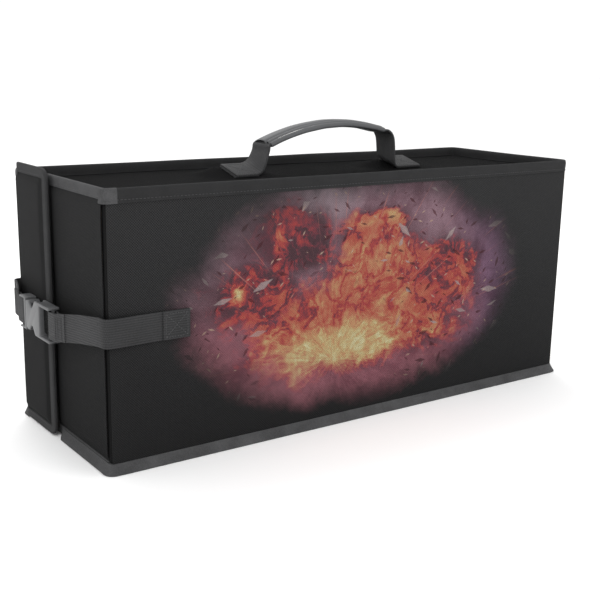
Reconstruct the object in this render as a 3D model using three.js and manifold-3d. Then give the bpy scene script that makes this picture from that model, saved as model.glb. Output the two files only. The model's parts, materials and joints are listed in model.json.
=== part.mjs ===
// Box-shaped fire-resistant bag for lithium batteries, in millimetres.
// Frame: origin on the middle of the underside, +X along the length to the closed end,
// +Y to the back wall, +Z up. The bag opens at its -X end, where two flaps meet.

import * as THREE from 'three';
import { mergeVertices } from 'three/addons/utils/BufferGeometryUtils.js';
import Module from 'manifold-3d';

const wasm = await Module();
wasm.setup();

// Driving dimensions of the box.
const bagLength = 550;
const bagDepth = 180;
const wallHeight = 222;
const footHeight = 8; // the bound bottom seam holds the walls this far off the ground
const finHeight = 12; // the bound top seam stands up this far round the top panel
const footFlare = 4; // the bottom seam leans out by this much

// Cloth, board and lining of every wall, and the space kept between two pieces.
const gap = 0.3;
const clothThick = 1.2;
const boardThick = 2.4;
const liningThick = 0.8;

// Binding tape and webbing.
const tapeThick = 0.8;
const tapeWidth = 11;
const webWidth = 25;
const webThick = 1.5;

// End flaps. The inner flap hangs from the front wall, the outer one from the back wall.
const innerTip = 34;
const outerTip = 16;
const outerRise = 6; // how far the outer flap stands above the rim
const flapSpacing = 2.7;
const foldReach = 5.5;
const groundClearance = 0.5;
const cornerRadius = 13;
const innerRadius = 3;

// Carry handle on the top panel, a little nearer to the closed end.
const handleShift = 10;
const handleWebWidth = 30;
const patchOuter = 117; // the reaches along the bag are from the middle of the handle
const patchInner = 83;
const patchRise = 8; // the cloth is drawn up under the rear edge of each patch
const legFoot = 4; // how far the leg runs level before it turns up
const gripHalfLength = 70;
const gripEndRise = 35;
const gripSagitta = 14;
const gripShift = -6; // the grip has slid along its webbing, towards the flaps
const gripLift = 2; // how far the middle of the grip hangs above its even height
const gripTilt = 4.3; // degrees by which its right end hangs higher than its left
const gripWidth = 34;
const gripThick = 8;
const gripWall = 1;
const legBelowGrip = 2;

// Closure strap and its side-release buckle, 25 mm webbing size.
const strapHeight = 124; // middle of the strap on the walls
const buckleHeight = 115; // the strap sags to this height at the buckle
const strapSewnEnd = 201;
const buckleWidth = 32;
const buckleThick = 11;
const femaleStart = -14;
const femaleEnd = 40;
const maleEnd = 56;
const prongThick = 3.2;
const prongWide = 5;
const barWidth = 5;
const barThick = 2.4;
const slotWidth = 6;
const socketSlot = 17; // the long slot at the socket's strap end
const buckleWaist = 7.5; // depth of the thumb notches at both sides of the socket
const thumbWindow = [14, 30.2]; // where the prongs can be reached, from the middle of the bag
const webTurn = 3.2; // from the middle of the buckle to the middle of the webbing at each face
const frontTail = 24;
const backTail = 14;
const strapLift = 0.3;

// Derived sizes.
const halfLength = bagLength / 2;
const halfDepth = bagDepth / 2;
const wallTop = footHeight + wallHeight;
const rimTop = wallTop + finHeight;
const stack = clothThick + gap + boardThick + gap + liningThick;
const tapeEdge = gap + tapeThick;
const mouth = -halfLength + stack + tapeEdge + gap;
const outerFace = -halfLength - flapSpacing - stack;
const buckleInner = outerFace - tapeThick - 2 * gap - 0.5;
const buckleOuter = buckleInner - buckleThick;
const buckleMiddle = (buckleInner + buckleOuter) / 2;

const fabricBlack = () => new THREE.MeshStandardMaterial({ color: 0x151516, roughness: 0.9, metalness: 0 });
const tapeGrey = () => new THREE.MeshStandardMaterial({ color: 0x3b3b3d, roughness: 0.8, metalness: 0 });
const webGrey = () => new THREE.MeshStandardMaterial({ color: 0x48494b, roughness: 0.8, metalness: 0 });
const boardBrown = () => new THREE.MeshStandardMaterial({ color: 0x8d8069, roughness: 0.9, metalness: 0 });
const liningSilver = () => new THREE.MeshStandardMaterial({ color: 0x9a9d9f, roughness: 0.6, metalness: 0 });
const buckleGrey = () => new THREE.MeshStandardMaterial({ color: 0x77787a, roughness: 0.45, metalness: 0 });
const gripGrey = () => new THREE.MeshStandardMaterial({ color: 0x4d4f52, roughness: 0.4, metalness: 0 });
const foamWhite = () => new THREE.MeshStandardMaterial({ color: 0xd9d9d4, roughness: 0.95, metalness: 0 });

const bag = new THREE.Group();

function add(name, geometry, material) {
  const mesh = new THREE.Mesh(geometry, material);
  mesh.name = name;
  bag.add(mesh);
}

// A rectangular block between two corners.
function block(x, y, z) {
  const geometry = new THREE.BoxGeometry(x[1] - x[0], y[1] - y[0], z[1] - z[0]);
  return geometry.translate((x[0] + x[1]) / 2, (y[0] + y[1]) / 2, (z[0] + z[1]) / 2);
}

// A flat outline given a thickness along the third axis: 'xy' along Z, 'yz' along X, 'xz' along Y.
const planes = {
  xy: new THREE.Matrix4(),
  yz: new THREE.Matrix4().makeBasis(
    new THREE.Vector3(0, 1, 0), new THREE.Vector3(0, 0, 1), new THREE.Vector3(1, 0, 0)),
  xz: new THREE.Matrix4().makeBasis(
    new THREE.Vector3(1, 0, 0), new THREE.Vector3(0, 0, 1), new THREE.Vector3(0, -1, 0)),
};

function extrude(shape, plane, from, to) {
  const depth = to - from;
  const geometry = new THREE.ExtrudeGeometry(shape, { depth, bevelEnabled: false, curveSegments: 6 });
  geometry.translate(0, 0, plane === 'xz' ? -to : from);
  return geometry.applyMatrix4(planes[plane]);
}

function outline(points) {
  return new THREE.Shape(points.map(([u, v]) => new THREE.Vector2(u, v)));
}

// The outline of a strip of even thickness that follows a bent line.
function ribbon(points, thick) {
  const line = points.map(([u, v]) => new THREE.Vector2(u, v));
  const left = [];
  const right = [];
  line.forEach((point, i) => {
    const before = point.clone().sub(line[Math.max(i - 1, 0)]).normalize();
    const after = line[Math.min(i + 1, line.length - 1)].clone().sub(point).normalize();
    const along = before.add(after).normalize();
    const straight = i > 0 ? point.clone().sub(line[i - 1]).normalize() : along;
    const reach = thick / 2 / Math.max(0.3, along.dot(straight));
    const side = new THREE.Vector2(-along.y, along.x).multiplyScalar(reach);
    left.push(point.clone().add(side));
    right.push(point.clone().sub(side));
  });
  return new THREE.Shape([...left, ...right.reverse()]);
}

function solid(geometry) {
  const bare = geometry.clone();
  bare.deleteAttribute('normal');
  bare.deleteAttribute('uv');
  const merged = mergeVertices(bare, 1e-4);
  return new wasm.Manifold(new wasm.Mesh({
    numProp: 3,
    vertProperties: Float32Array.from(merged.attributes.position.array),
    triVerts: Uint32Array.from(merged.index.array),
  }));
}

function cut(geometry, ...cutters) {
  const rest = cutters.reduce((body, cutter) => body.subtract(solid(cutter)), solid(geometry));
  const mesh = rest.getMesh();
  const result = new THREE.BufferGeometry();
  result.setAttribute('position', new THREE.BufferAttribute(mesh.vertProperties, 3));
  result.setIndex(new THREE.BufferAttribute(mesh.triVerts, 1));
  result.computeVertexNormals();
  return result;
}

// Moves every point up or down by a height that depends on where it is.
function sag(geometry, height) {
  const position = geometry.attributes.position;
  for (let i = 0; i < position.count; i += 1) {
    position.setZ(i, position.getZ(i) + height(position.getY(i)));
  }
  geometry.computeVertexNormals();
  return geometry;
}

// The three layers of a wall, as depths below its outer face.
const boardFrom = clothThick + gap;
const liningFrom = boardFrom + boardThick + gap;
const layers = [
  { piece: 'panel', from: 0, to: clothThick, material: fabricBlack },
  { piece: 'board', from: boardFrom, to: boardFrom + boardThick, material: boardBrown },
  { piece: 'lining', from: liningFrom, to: stack, material: liningSilver },
];

// Fixed walls: the cloth of the upright walls reaches up into the top binding, and their boards
// and linings stand between the bottom stack and the top stack.
function addWalls() {
  const insideY = halfDepth - clothThick - gap;
  const insideX = halfLength - clothThick - gap;
  for (const { piece, from, to, material } of layers) {
    const height = piece === 'panel'
      ? [footHeight + gap, rimTop - tapeThick - gap]
      : [stack + gap, wallTop - stack - gap];
    const length = [mouth, halfLength - from];
    const width = [-(halfDepth - to - gap), halfDepth - to - gap];
    add(`front_${piece}`, block(length, [-halfDepth + from, -halfDepth + to], height), material());
    add(`back_${piece}`, block(length, [halfDepth - to, halfDepth - from], height), material());
    add(`end_${piece}`, block([halfLength - to, halfLength - from], width, height), material());
    const flat = [[mouth + 1, insideX], [-insideY, insideY]];
    add(`top_${piece}`, block(...flat, [wallTop - to, wallTop - from]), material());
    add(`bottom_${piece}`, block(...flat, [from, to]), material());
  }
}

// Round a U that runs along the front, across the closed end and back along the rear wall.
function rimPath(inset) {
  const y = halfDepth - inset;
  const x = halfLength - inset;
  return [[-halfLength, -y], [x, -y], [x, y], [-halfLength, y]];
}

function addRimBindings() {
  const middle = clothThick / 2;
  const tapeAcross = clothThick + 2 * (gap + tapeThick);
  const topTape = extrude(ribbon(rimPath(middle), tapeAcross), 'xy', wallTop + gap, rimTop);
  const path = rimPath(middle);
  path[0][0] -= 1;
  path[3][0] -= 1;
  const slot = extrude(ribbon(path, clothThick + 2 * gap), 'xy', wallTop, rimTop - tapeThick);
  add('top_binding', cut(topTape, slot), tapeGrey());

  // The foot is the same tape turned down, and its lower edge leans outwards.
  const foot = extrude(ribbon(rimPath(middle - 1), tapeAcross), 'xy', 0, footHeight);
  const position = foot.attributes.position;
  for (let i = 0; i < position.count; i += 1) {
    if (position.getZ(i) < footHeight / 2) {
      const x = position.getX(i);
      position.setX(i, x > 0 ? x + footFlare : x);
      position.setY(i, position.getY(i) + footFlare * Math.sign(position.getY(i)));
    }
  }
  foot.computeVertexNormals();
  add('bottom_binding', foot, tapeGrey());
}

// Tape over the free ends of the top and bottom panels, at the mouth.
function addMouthBindings() {
  const width = [-(halfDepth - stack - gap), halfDepth - stack - gap];
  const inner = mouth + 1 - gap;
  const length = [inner - tapeThick + gap, mouth + tapeWidth];
  const over = block(length, width, [wallTop - stack - gap - tapeThick, wallTop + gap + tapeThick]);
  const wide = [width[0] - 1, width[1] + 1];
  const slot = block([inner, mouth + tapeWidth + 1], wide, [wallTop - stack - gap, wallTop + gap]);
  add('mouth_top_binding', cut(over, slot), tapeGrey());
  const low = block(length, width, [groundClearance, stack + gap + tapeThick]);
  const floorSlot = block([inner, mouth + tapeWidth + 1], wide, [0, stack + gap]);
  add('mouth_bottom_binding', cut(low, floorSlot), tapeGrey());
}

// Outline of a flap, in Y and Z: square at its fold, with round corners at its free edge.
function flapOutline(fold, tip, low, high, radius) {
  const way = Math.sign(tip - fold);
  const shape = new THREE.Shape();
  shape.moveTo(fold, low);
  shape.lineTo(tip - way * radius, low);
  shape.quadraticCurveTo(tip, low, tip, low + radius);
  shape.lineTo(tip, high - radius);
  shape.quadraticCurveTo(tip, high, tip - way * radius, high);
  shape.lineTo(fold, high);
  return shape;
}

// One end flap: cloth, board and lining, with tape round its three free edges.
function addFlap(name, face, fold, tip, low, high, radius) {
  const way = Math.sign(tip - fold);
  const grown = (by, r = radius + by) => flapOutline(fold, tip + way * by, low - by, high + by, r);
  for (const { piece, from, to, material } of layers) {
    const inset = piece === 'board' ? -(tapeWidth + gap) : 0;
    add(`${name}_${piece}`, extrude(grown(inset, Math.max(radius + inset, 2)), 'yz',
      face + from, face + to), material());
  }
  const edge = gap + tapeThick;
  const tape = extrude(grown(edge), 'yz', face - edge, face + stack + edge);
  const channel = extrude(grown(gap), 'yz', face - gap, face + stack + gap);
  const window = extrude(grown(-tapeWidth, Math.max(radius - tapeWidth, 2)), 'yz',
    face - 2 * edge, face + stack + 2 * edge);
  // The channel and the window run out past the fold, so the tape stays open there.
  const pastFold = block([face - gap, face + stack + gap],
    [fold - 1, fold + 1], [low - gap, high + gap]);
  const pastWindow = block([face - 2 * edge, face + stack + 2 * edge], [fold - 1, fold + 1],
    [low + tapeWidth, high - tapeWidth]);
  add(`${name}_binding`, cut(tape, channel, window, pastFold, pastWindow), tapeGrey());
}

// Cloth that carries each wall round its corner and into its flap.
function addFolds() {
  const half = clothThick / 2;
  const height = [footHeight + gap, wallTop];
  const front = [
    [mouth - gap, -halfDepth + half],
    [-halfLength + half, -halfDepth + half],
    [-halfLength + half, -halfDepth + foldReach],
  ];
  add('front_fold', extrude(ribbon(front, clothThick), 'xy', ...height), fabricBlack());
  const back = [
    [mouth - gap, halfDepth - half],
    [outerFace + half, halfDepth - half],
    [outerFace + half, halfDepth - foldReach],
  ];
  add('back_fold', extrude(ribbon(back, clothThick), 'xy', ...height), fabricBlack());
}

// Sector of a ring in X and Z about the centre of the grip's arch.
const archRadius = (gripHalfLength ** 2 + gripSagitta ** 2) / (2 * gripSagitta);
const archCentre = wallTop + gripEndRise + gripSagitta - archRadius;

function archSector(inner, outer, halfSpan) {
  const spread = Math.asin(halfSpan / archRadius);
  const shape = new THREE.Shape();
  shape.absarc(0, archCentre, archRadius + outer, Math.PI / 2 - spread, Math.PI / 2 + spread, false);
  shape.absarc(0, archCentre, archRadius + inner, Math.PI / 2 + spread, Math.PI / 2 - spread, true);
  return shape;
}

function archPiece(inner, outer, halfSpan, width) {
  const shape = archSector(inner, outer, halfSpan);
  const settings = { depth: width, bevelEnabled: false, curveSegments: 16 };
  const geometry = new THREE.ExtrudeGeometry(shape, settings);
  return geometry.translate(0, 0, -width / 2).applyMatrix4(planes.xz);
}

// The webbing lies folded in two on the patches, rises in two legs and runs through the grip.
function addHandle() {
  const doubled = 2 * webThick;
  const half = handleWebWidth / 2;
  const base = wallTop + gap;
  const footLevel = base + patchRise / 2 + webThick;
  const chord = wallTop + gripEndRise;
  const tilt = THREE.MathUtils.degToRad(gripTilt);
  const along = (geometry) => geometry.translate(handleShift, 0, 0);
  const hung = (geometry) => {
    geometry.translate(0, 0, -chord).rotateY(-tilt).translate(gripShift, 0, chord + gripLift);
    return along(geometry);
  };
  for (const [side, way] of [['left', -1], ['right', 1]]) {
    const span = way < 0 ? [-patchOuter, -patchInner] : [patchInner, patchOuter];
    const wedge = outline([
      [-half, base], [half, base], [half, base + patchRise + doubled], [-half, base + doubled],
    ]);
    add(`${side}_handle_patch`, along(extrude(wedge, 'yz', ...span)), webGrey());
    const foot = way * (patchInner - legFoot);
    const top = way * (gripHalfLength + legBelowGrip) + gripShift;
    const rise = chord + gripLift + way * gripHalfLength * Math.sin(tilt) - legBelowGrip;
    const path = [
      [way * (patchInner - gap), footLevel],
      [foot, footLevel],
      [foot * 0.75 + top * 0.25, rise - 10],
      [foot * 0.4 + top * 0.6, rise - 4],
      [top, rise - 2],
    ];
    const leg = extrude(ribbon(way < 0 ? path : path.reverse(), doubled), 'xz', -half, half);
    add(`${side}_handle_leg`, along(leg), webGrey());
  }
  const low = -gripThick / 2;
  const high = gripThick / 2;
  const skin = archPiece(low, high, gripHalfLength, gripWidth);
  const hollow = archPiece(low + gripWall, high - gripWall, gripHalfLength + 5, gripWidth - 2 * gripWall);
  add('grip_cover', hung(cut(skin, hollow)), gripGrey());
  const webLow = low + gripWall + gap;
  const webHigh = webLow + webThick;
  add('grip_web', hung(archPiece(webLow, webHigh, gripHalfLength, handleWebWidth)), webGrey());
  const coreHigh = high - gripWall - gap;
  const core = archPiece(webHigh + gap, coreHigh, gripHalfLength - 3, handleWebWidth - 1);
  add('grip_core', hung(core), foamWhite());
}

// Height of the strap between the wall it is sewn to and the buckle.
function strapDrop(y) {
  const drop = buckleHeight - strapHeight;
  const near = y < 0 ? femaleStart : maleEnd;
  const far = Math.sign(y) * halfDepth;
  const part = THREE.MathUtils.clamp((y - far) / (near - far), 0, 1);
  return drop * part;
}

const strapSpan = [strapHeight - webWidth / 2, strapHeight + webWidth / 2];

// Webbing sewn along a wall, the piece that turns the corner, and the piece that runs to the
// buckle, wraps round the buckle's bar and lies back under itself.
function addStrapSide(name, side, cornerX, barY, tailLength) {
  const wallFace = side * (halfDepth + gap);
  const sewn = side > 0 ? [wallFace, wallFace + webThick] : [wallFace - webThick, wallFace];
  add(`${name}_strap_sewn`, block([-halfLength + 6, -strapSewnEnd], sewn, strapSpan), webGrey());
  const mid = side * (halfDepth + gap + webThick / 2);
  const turnX = cornerX - gap - webThick / 2 - strapLift;
  const turn = [[-halfLength + 5.7, mid], [turnX + 1, mid], [turnX, mid - side], [turnX, side * (halfDepth - 2.6)]];
  const fold = ribbon(side < 0 ? turn : turn.reverse(), webThick);
  add(`${name}_strap_fold`, extrude(fold, 'xy', ...strapSpan), webGrey());
  const toward = -side;
  const outerLeg = buckleMiddle - webTurn;
  const innerLeg = buckleMiddle + webTurn;
  const path = [
    [turnX, side * (halfDepth - 3.3)],
    [outerLeg, barY - toward * 12],
    [outerLeg, barY + toward * 0.5],
    [outerLeg + 1.4, barY + toward * (barWidth / 2 + 1.6)],
    [innerLeg - 1.4, barY + toward * (barWidth / 2 + 1.6)],
    [innerLeg, barY + toward * 0.5],
    [innerLeg, barY - toward * 5],
    [innerLeg - 2.2, barY - toward * tailLength],
  ];
  const end = extrude(ribbon(side < 0 ? path : path.reverse(), webThick), 'xy', ...strapSpan);
  add(`${name}_strap_end`, sag(end, strapDrop), webGrey());
}

// Side-release buckle: a socket with side windows, and a plug with two springy prongs.
function addBuckle() {
  const half = buckleWidth / 2;
  const x = [buckleOuter, buckleInner];
  const through = [buckleOuter - 1, buckleInner + 1];
  const z = (low, high) => [buckleHeight + low, buckleHeight + high];
  const slotHalf = webWidth / 2 + 1;
  const barHigh = barThick / 2;

  const waist = half - buckleWaist;
  const body = extrude(outline([
    [femaleStart, buckleHeight - half], [19, buckleHeight - half], [25, buckleHeight - waist],
    [28, buckleHeight - waist], [33, buckleHeight - half + 2], [femaleEnd, buckleHeight - half + 3],
    [femaleEnd, buckleHeight + half - 3], [33, buckleHeight + half - 2], [28, buckleHeight + waist],
    [25, buckleHeight + waist], [19, buckleHeight + half], [femaleStart, buckleHeight + half],
  ]), 'yz', ...x);
  const femaleSlot = [femaleStart + barWidth, femaleStart + barWidth + socketSlot];
  const slot = block(through, femaleSlot, z(-slotHalf, slotHalf));
  // Only a thin bar is left at the end of the slot, so that the webbing has room round it.
  const barFront = [femaleStart - 1, femaleSlot[0] + 0.5];
  const above = block([buckleMiddle + barHigh, buckleInner + 1], barFront, z(-slotHalf, slotHalf));
  const below = block([buckleOuter - 1, buckleMiddle - barHigh], barFront, z(-slotHalf, slotHalf));
  const cavityX = [buckleMiddle - 3, buckleMiddle + 3];
  const cavity = block(cavityX, [femaleSlot[1] + 6, femaleEnd + 1], z(-half + 5, half - 5));
  const windows = block(cavityX, thumbWindow, z(-half - 1, half + 1));
  add('buckle_socket', cut(body, slot, above, below, cavity, windows), buckleGrey());

  const baseStart = femaleEnd + 0.6;
  const base = block(x, [baseStart, maleEnd], z(-half + 1, half - 1));
  const maleSlot = [baseStart + 4, baseStart + 4 + slotWidth];
  const plugSlot = block(through, maleSlot, z(-slotHalf, slotHalf));
  const barBack = [maleSlot[1] - 0.5, maleEnd + 1];
  const plugAbove = block([buckleMiddle + barHigh, buckleInner + 1], barBack, z(-slotHalf, slotHalf));
  const plugBelow = block([buckleOuter - 1, buckleMiddle - barHigh], barBack, z(-slotHalf, slotHalf));
  add('buckle_plug', cut(base, plugSlot, plugAbove, plugBelow), buckleGrey());

  for (const [name, way] of [['upper_prong', 1], ['lower_prong', -1]]) {
    const v = (height) => buckleHeight + way * height;
    const prong = outline([
      [femaleEnd, v(4)], [femaleEnd, v(4 + prongThick)], [30, v(6 + prongThick)], [28, v(half - 5)],
      [19, v(half - 6)], [16, v(half - 7.5)], [20, v(5.5)], [30, v(5)],
    ]);
    add(name, extrude(prong, 'yz', buckleMiddle - prongWide / 2, buckleMiddle + prongWide / 2),
      buckleGrey());
  }
}

addWalls();
addRimBindings();
addMouthBindings();
addFlap('inner_flap', -halfLength, -halfDepth + foldReach + gap, innerTip,
  groundClearance + gap + tapeThick, rimTop - gap - tapeThick, innerRadius);
addFlap('outer_flap', outerFace, halfDepth - foldReach - gap, outerTip,
  groundClearance + gap + tapeThick, rimTop + outerRise - gap - tapeThick, cornerRadius);
addFolds();
addHandle();
addStrapSide('front', -1, -halfLength, femaleStart + barWidth / 2, frontTail);
addStrapSide('back', 1, outerFace, maleEnd - barWidth / 2, backTail);
addBuckle();

export default bag;
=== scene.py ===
import json
import math

import bmesh
import bpy
from mathutils import Matrix, Vector, noise

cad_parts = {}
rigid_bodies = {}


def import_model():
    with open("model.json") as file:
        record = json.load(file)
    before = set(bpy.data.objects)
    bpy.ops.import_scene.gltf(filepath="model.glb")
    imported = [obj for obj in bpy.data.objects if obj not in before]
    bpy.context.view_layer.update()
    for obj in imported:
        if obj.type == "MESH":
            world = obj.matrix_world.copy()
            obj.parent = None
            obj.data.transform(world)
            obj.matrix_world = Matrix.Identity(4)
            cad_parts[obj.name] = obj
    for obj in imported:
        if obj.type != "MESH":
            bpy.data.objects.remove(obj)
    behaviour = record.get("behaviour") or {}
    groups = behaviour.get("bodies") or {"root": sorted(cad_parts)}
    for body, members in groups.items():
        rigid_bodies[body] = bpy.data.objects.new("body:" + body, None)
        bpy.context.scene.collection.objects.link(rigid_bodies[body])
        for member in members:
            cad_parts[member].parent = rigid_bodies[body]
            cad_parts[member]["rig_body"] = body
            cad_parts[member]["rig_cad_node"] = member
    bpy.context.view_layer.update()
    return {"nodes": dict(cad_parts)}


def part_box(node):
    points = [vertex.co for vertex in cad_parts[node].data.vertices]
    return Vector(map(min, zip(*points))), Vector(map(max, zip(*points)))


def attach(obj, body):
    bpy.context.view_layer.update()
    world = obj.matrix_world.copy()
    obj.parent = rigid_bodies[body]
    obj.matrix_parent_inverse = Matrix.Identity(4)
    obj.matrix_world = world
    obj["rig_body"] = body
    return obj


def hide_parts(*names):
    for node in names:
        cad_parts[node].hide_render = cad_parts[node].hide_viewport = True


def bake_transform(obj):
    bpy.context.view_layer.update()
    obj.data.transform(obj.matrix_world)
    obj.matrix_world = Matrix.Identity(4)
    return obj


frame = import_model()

nodes = frame["nodes"]
xAxis, yAxis, zAxis = Vector((1, 0, 0)), Vector((0, 1, 0)), Vector((0, 0, 1))
mm = 0.001


view = {  # places in metres, roll in degrees, lens and sensor in millimetres
    "eye": (-0.6025, -0.817, 0.3426),
    "target": (-0.0187, 0.0, 0.1017),
    "roll": 1.06,
    "lens": 59.8,
    "sensor": 36,
}


def makeCamera():
    bpy.ops.object.camera_add(location=view["eye"])
    camera = bpy.context.object
    back = (Vector(view["eye"]) - Vector(view["target"])).normalized()
    right = zAxis.cross(back).normalized()
    up = back.cross(right)
    turn = math.radians(view["roll"])
    tiltedRight = right * math.cos(turn) + up * math.sin(turn)
    tiltedUp = up * math.cos(turn) - right * math.sin(turn)
    facing = Matrix((tiltedRight, tiltedUp, back)).transposed()
    camera.matrix_world = Matrix.Translation(view["eye"]) @ facing.to_4x4()
    camera.data.lens = view["lens"]
    camera.data.sensor_width = view["sensor"]
    camera.data.dof.use_dof = False
    bpy.context.scene.camera = camera


studio = {
    "floorSize": 60.0,
    "floorTone": 0.955,
    "mottle": 0.02,
    "mottleSize": 0.4,
    "floorRoughness": 0.9,
    "skyStrength": 1.06,
    "lamps": [  # place, aim, size, power, name
        ((-1.6, -1.5, 1.9), (0, 0, 0.12), 1.6, 22, "key"),
        ((1.6, -1.9, 1.3), (0, 0, 0.15), 1.8, 12, "fill"),
        ((0.3, 1.4, 2.1), (0, 0, 0.2), 1.6, 20, "rim"),
    ],
}


def makeStudio():
    bpy.ops.mesh.primitive_grid_add(x_subdivisions=2, y_subdivisions=2, size=studio["floorSize"])
    floor = bpy.context.object
    floor.name = "studio_floor"
    look = Finish("studio_paper")
    tone = studio["floorTone"]
    paper = look.speckle(studio["mottleSize"], tone, tone + studio["mottle"])
    look.shader(paper, Roughness=studio["floorRoughness"])
    floor.data.materials.append(look.material)
    world = bpy.data.worlds.new("studio_sky")
    world.use_nodes = True
    sky = world.node_tree.nodes["Background"]
    sky.inputs["Color"].default_value = (1, 1, 1, 1)
    sky.inputs["Strength"].default_value = studio["skyStrength"]
    bpy.context.scene.world = world
    for place, aim, size, power, name in studio["lamps"]:
        bpy.ops.object.light_add(type="AREA", location=place)
        lamp = bpy.context.object
        lamp.name = "lamp_" + name
        lamp.data.size = size
        lamp.data.energy = power
        lamp.rotation_euler = (Vector(place) - Vector(aim)).to_track_quat("Z", "Y").to_euler()
    bpy.context.scene.view_settings.view_transform = "Standard"


# A number on its way through a material.
class Wire:
    def __init__(self, tree, socket):
        self.tree, self.socket = tree, socket

    def math(self, operation, *values, clamp=False):
        node = self.tree.nodes.new("ShaderNodeMath")
        node.operation, node.use_clamp = operation, clamp
        for slot, value in zip(node.inputs, values):
            if isinstance(value, Wire):
                self.tree.links.new(value.socket, slot)
            else:
                slot.default_value = value
        return Wire(self.tree, node.outputs[0])

    def __add__(self, other):
        return self.math("ADD", self, other)

    def __radd__(self, other):
        return self.math("ADD", other, self)

    def __sub__(self, other):
        return self.math("SUBTRACT", self, other)

    def __rsub__(self, other):
        return self.math("SUBTRACT", other, self)

    def __mul__(self, other):
        return self.math("MULTIPLY", self, other)

    def __rmul__(self, other):
        return self.math("MULTIPLY", other, self)

    def __truediv__(self, other):
        return self.math("DIVIDE", self, other)

    def __pow__(self, other):
        return self.math("POWER", self, other)

    def __abs__(self):
        return self.math("ABSOLUTE", self)

    def sine(self):
        return self.math("SINE", self)

    def above(self, other):
        return self.math("GREATER_THAN", self, other)

    def clamped(self):
        return self.math("ADD", self, 0.0, clamp=True)

# One material, and the nodes that its maker asks for.
class Finish:
    def __init__(self, name):
        self.material = bpy.data.materials.new(name)
        self.material.use_nodes = True
        self.tree = self.material.node_tree
        self.principled = self.tree.nodes["Principled BSDF"]

    def node(self, kind, settings=None, output=0, **values):
        made = self.tree.nodes.new("ShaderNode" + kind)
        for key, value in (settings or {}).items():
            if key == "stops":
                self.fillRamp(made.color_ramp, value)
            else:
                setattr(made, key, value)
        for key, value in values.items():
            slot = made.inputs[int(key[1:])] if key[0] == "n" and key[1:].isdigit() else made.inputs[key]
            if isinstance(value, Wire):
                self.tree.links.new(value.socket, slot)
            else:
                slot.default_value = value
        return Wire(self.tree, made.outputs[output])

    def fillRamp(self, ramp, stops):
        while len(ramp.elements) < len(stops):
            ramp.elements.new(0.5)
        for element, (place, color) in zip(ramp.elements, stops):
            element.position = place
            element.color = (*color, 1) if len(color) == 3 else color

    def split(self, wire):
        return [self.node("SeparateXYZ", None, i, Vector=wire) for i in range(3)]

    def join(self, x, y, z=0.0):
        return self.node("CombineXYZ", X=x, Y=y, Z=z)

    def place(self):  # the piece's own position, in metres
        return self.node("TexCoord", output="Object")

    def cloth(self):  # metres along and across the cloth
        u, v, _ = self.split(self.node("UVMap", {"uv_map": "cloth"}))
        return u, v

    def speckle(self, size, low, high):
        grain = self.node("TexNoise", Vector=self.place(), Scale=1 / size, Detail=3.0)
        return self.tint((low,) * 3, (high,) * 3, grain)

    def noise(self, vector, scale, detail=3.0, rough=0.55, warp=0.0):
        return self.node("TexNoise", Vector=vector, Scale=scale, Detail=detail, Roughness=rough,
                         Distortion=warp)

    def tint(self, low, high, amount):
        return self.node("Mix", {"data_type": "RGBA"}, 2, n0=amount,
                         n6=low if isinstance(low, Wire) else (*low, 1),
                         n7=high if isinstance(high, Wire) else (*high, 1))

    def either(self, one, other):
        return one.math("MAXIMUM", one, other)

    def turn(self, up, across):
        return up.math("ARCTAN2", up, across)

    def smooth(self, wire, low, high, toLow=0.0, toHigh=1.0):
        return self.node("MapRange", {"interpolation_type": "SMOOTHSTEP"}, n0=wire, n1=low, n2=high,
                         n3=toLow, n4=toHigh)

    def bump(self, height, depth, strength=1.0):
        self.shaderLink("Normal", self.node("Bump", Strength=strength, Distance=depth, Height=height))

    def shaderLink(self, name, value):
        slot = self.principled.inputs[name]
        if isinstance(value, Wire):
            self.tree.links.new(value.socket, slot)
        elif name == "Base Color":
            slot.default_value = (*value, 1)
        else:
            slot.default_value = value

    def shader(self, color, **values):
        self.shaderLink("Base Color", color)
        for key, value in values.items():
            self.shaderLink(key.replace("_", " "), value)


def weave(look, pitch):
    u, v = look.cloth()
    return (u * (math.pi / pitch)).sine() * (v * (math.pi / pitch)).sine()


# A tone made stronger or weaker.
def toned(tones, gain):
    return tuple(c * gain for c in tones)


shellCloth = {
    "pitch": 1.15 * mm, "dark": (0.0035, 0.0035, 0.0037), "light": (0.019, 0.019, 0.0195),
    "threads": 0.42, "clouds": 0.3, "slubs": 0.25, "base": 0.24,  # what makes the cloth lighter
    "cloudScale": 14.0, "slubScale": 420.0,
    "low": 0.42, "high": 1.15, "rimHeight": 0.24,  # painted shade: how light the cloth is at the ground and at the rim
    "rough": 0.72, "roughClouds": 0.18, "gloss": 0.12,
    "relief": 0.35 * mm, "slubRelief": 0.6, "cloudRelief": 1.5, "bump": 0.8,
}


def shellLook(name="black_woven_cloth", gain=1.0, printed=False, gloss=shellCloth["gloss"]):
    look = Finish(name)
    threads = weave(look, shellCloth["pitch"])
    clouds = look.noise(look.place(), shellCloth["cloudScale"], 4.0)
    slubs = look.noise(look.place(), shellCloth["slubScale"], 2.0)
    lit = threads * shellCloth["threads"] + clouds * shellCloth["clouds"] + slubs * shellCloth["slubs"]
    height = look.split(look.place())[2]
    # painted shade: the cloth is darker towards the ground and lighter towards the rim, as light falls from
    # above
    paintedShade = look.smooth(height, 0.0, shellCloth["rimHeight"], shellCloth["low"], shellCloth["high"])
    lit = (lit + shellCloth["base"]) * paintedShade
    color = look.tint(shellCloth["dark"], toned(shellCloth["light"], gain), lit.clamped())
    if printed:
        color = firePrint(look, color, threads)
    look.shader(color, Roughness=clouds * shellCloth["roughClouds"] + shellCloth["rough"],
                Specular_IOR_Level=gloss)
    height = threads + slubs * shellCloth["slubRelief"] + clouds * shellCloth["cloudRelief"]
    look.bump(height, shellCloth["relief"], shellCloth["bump"])
    return look.material


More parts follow.
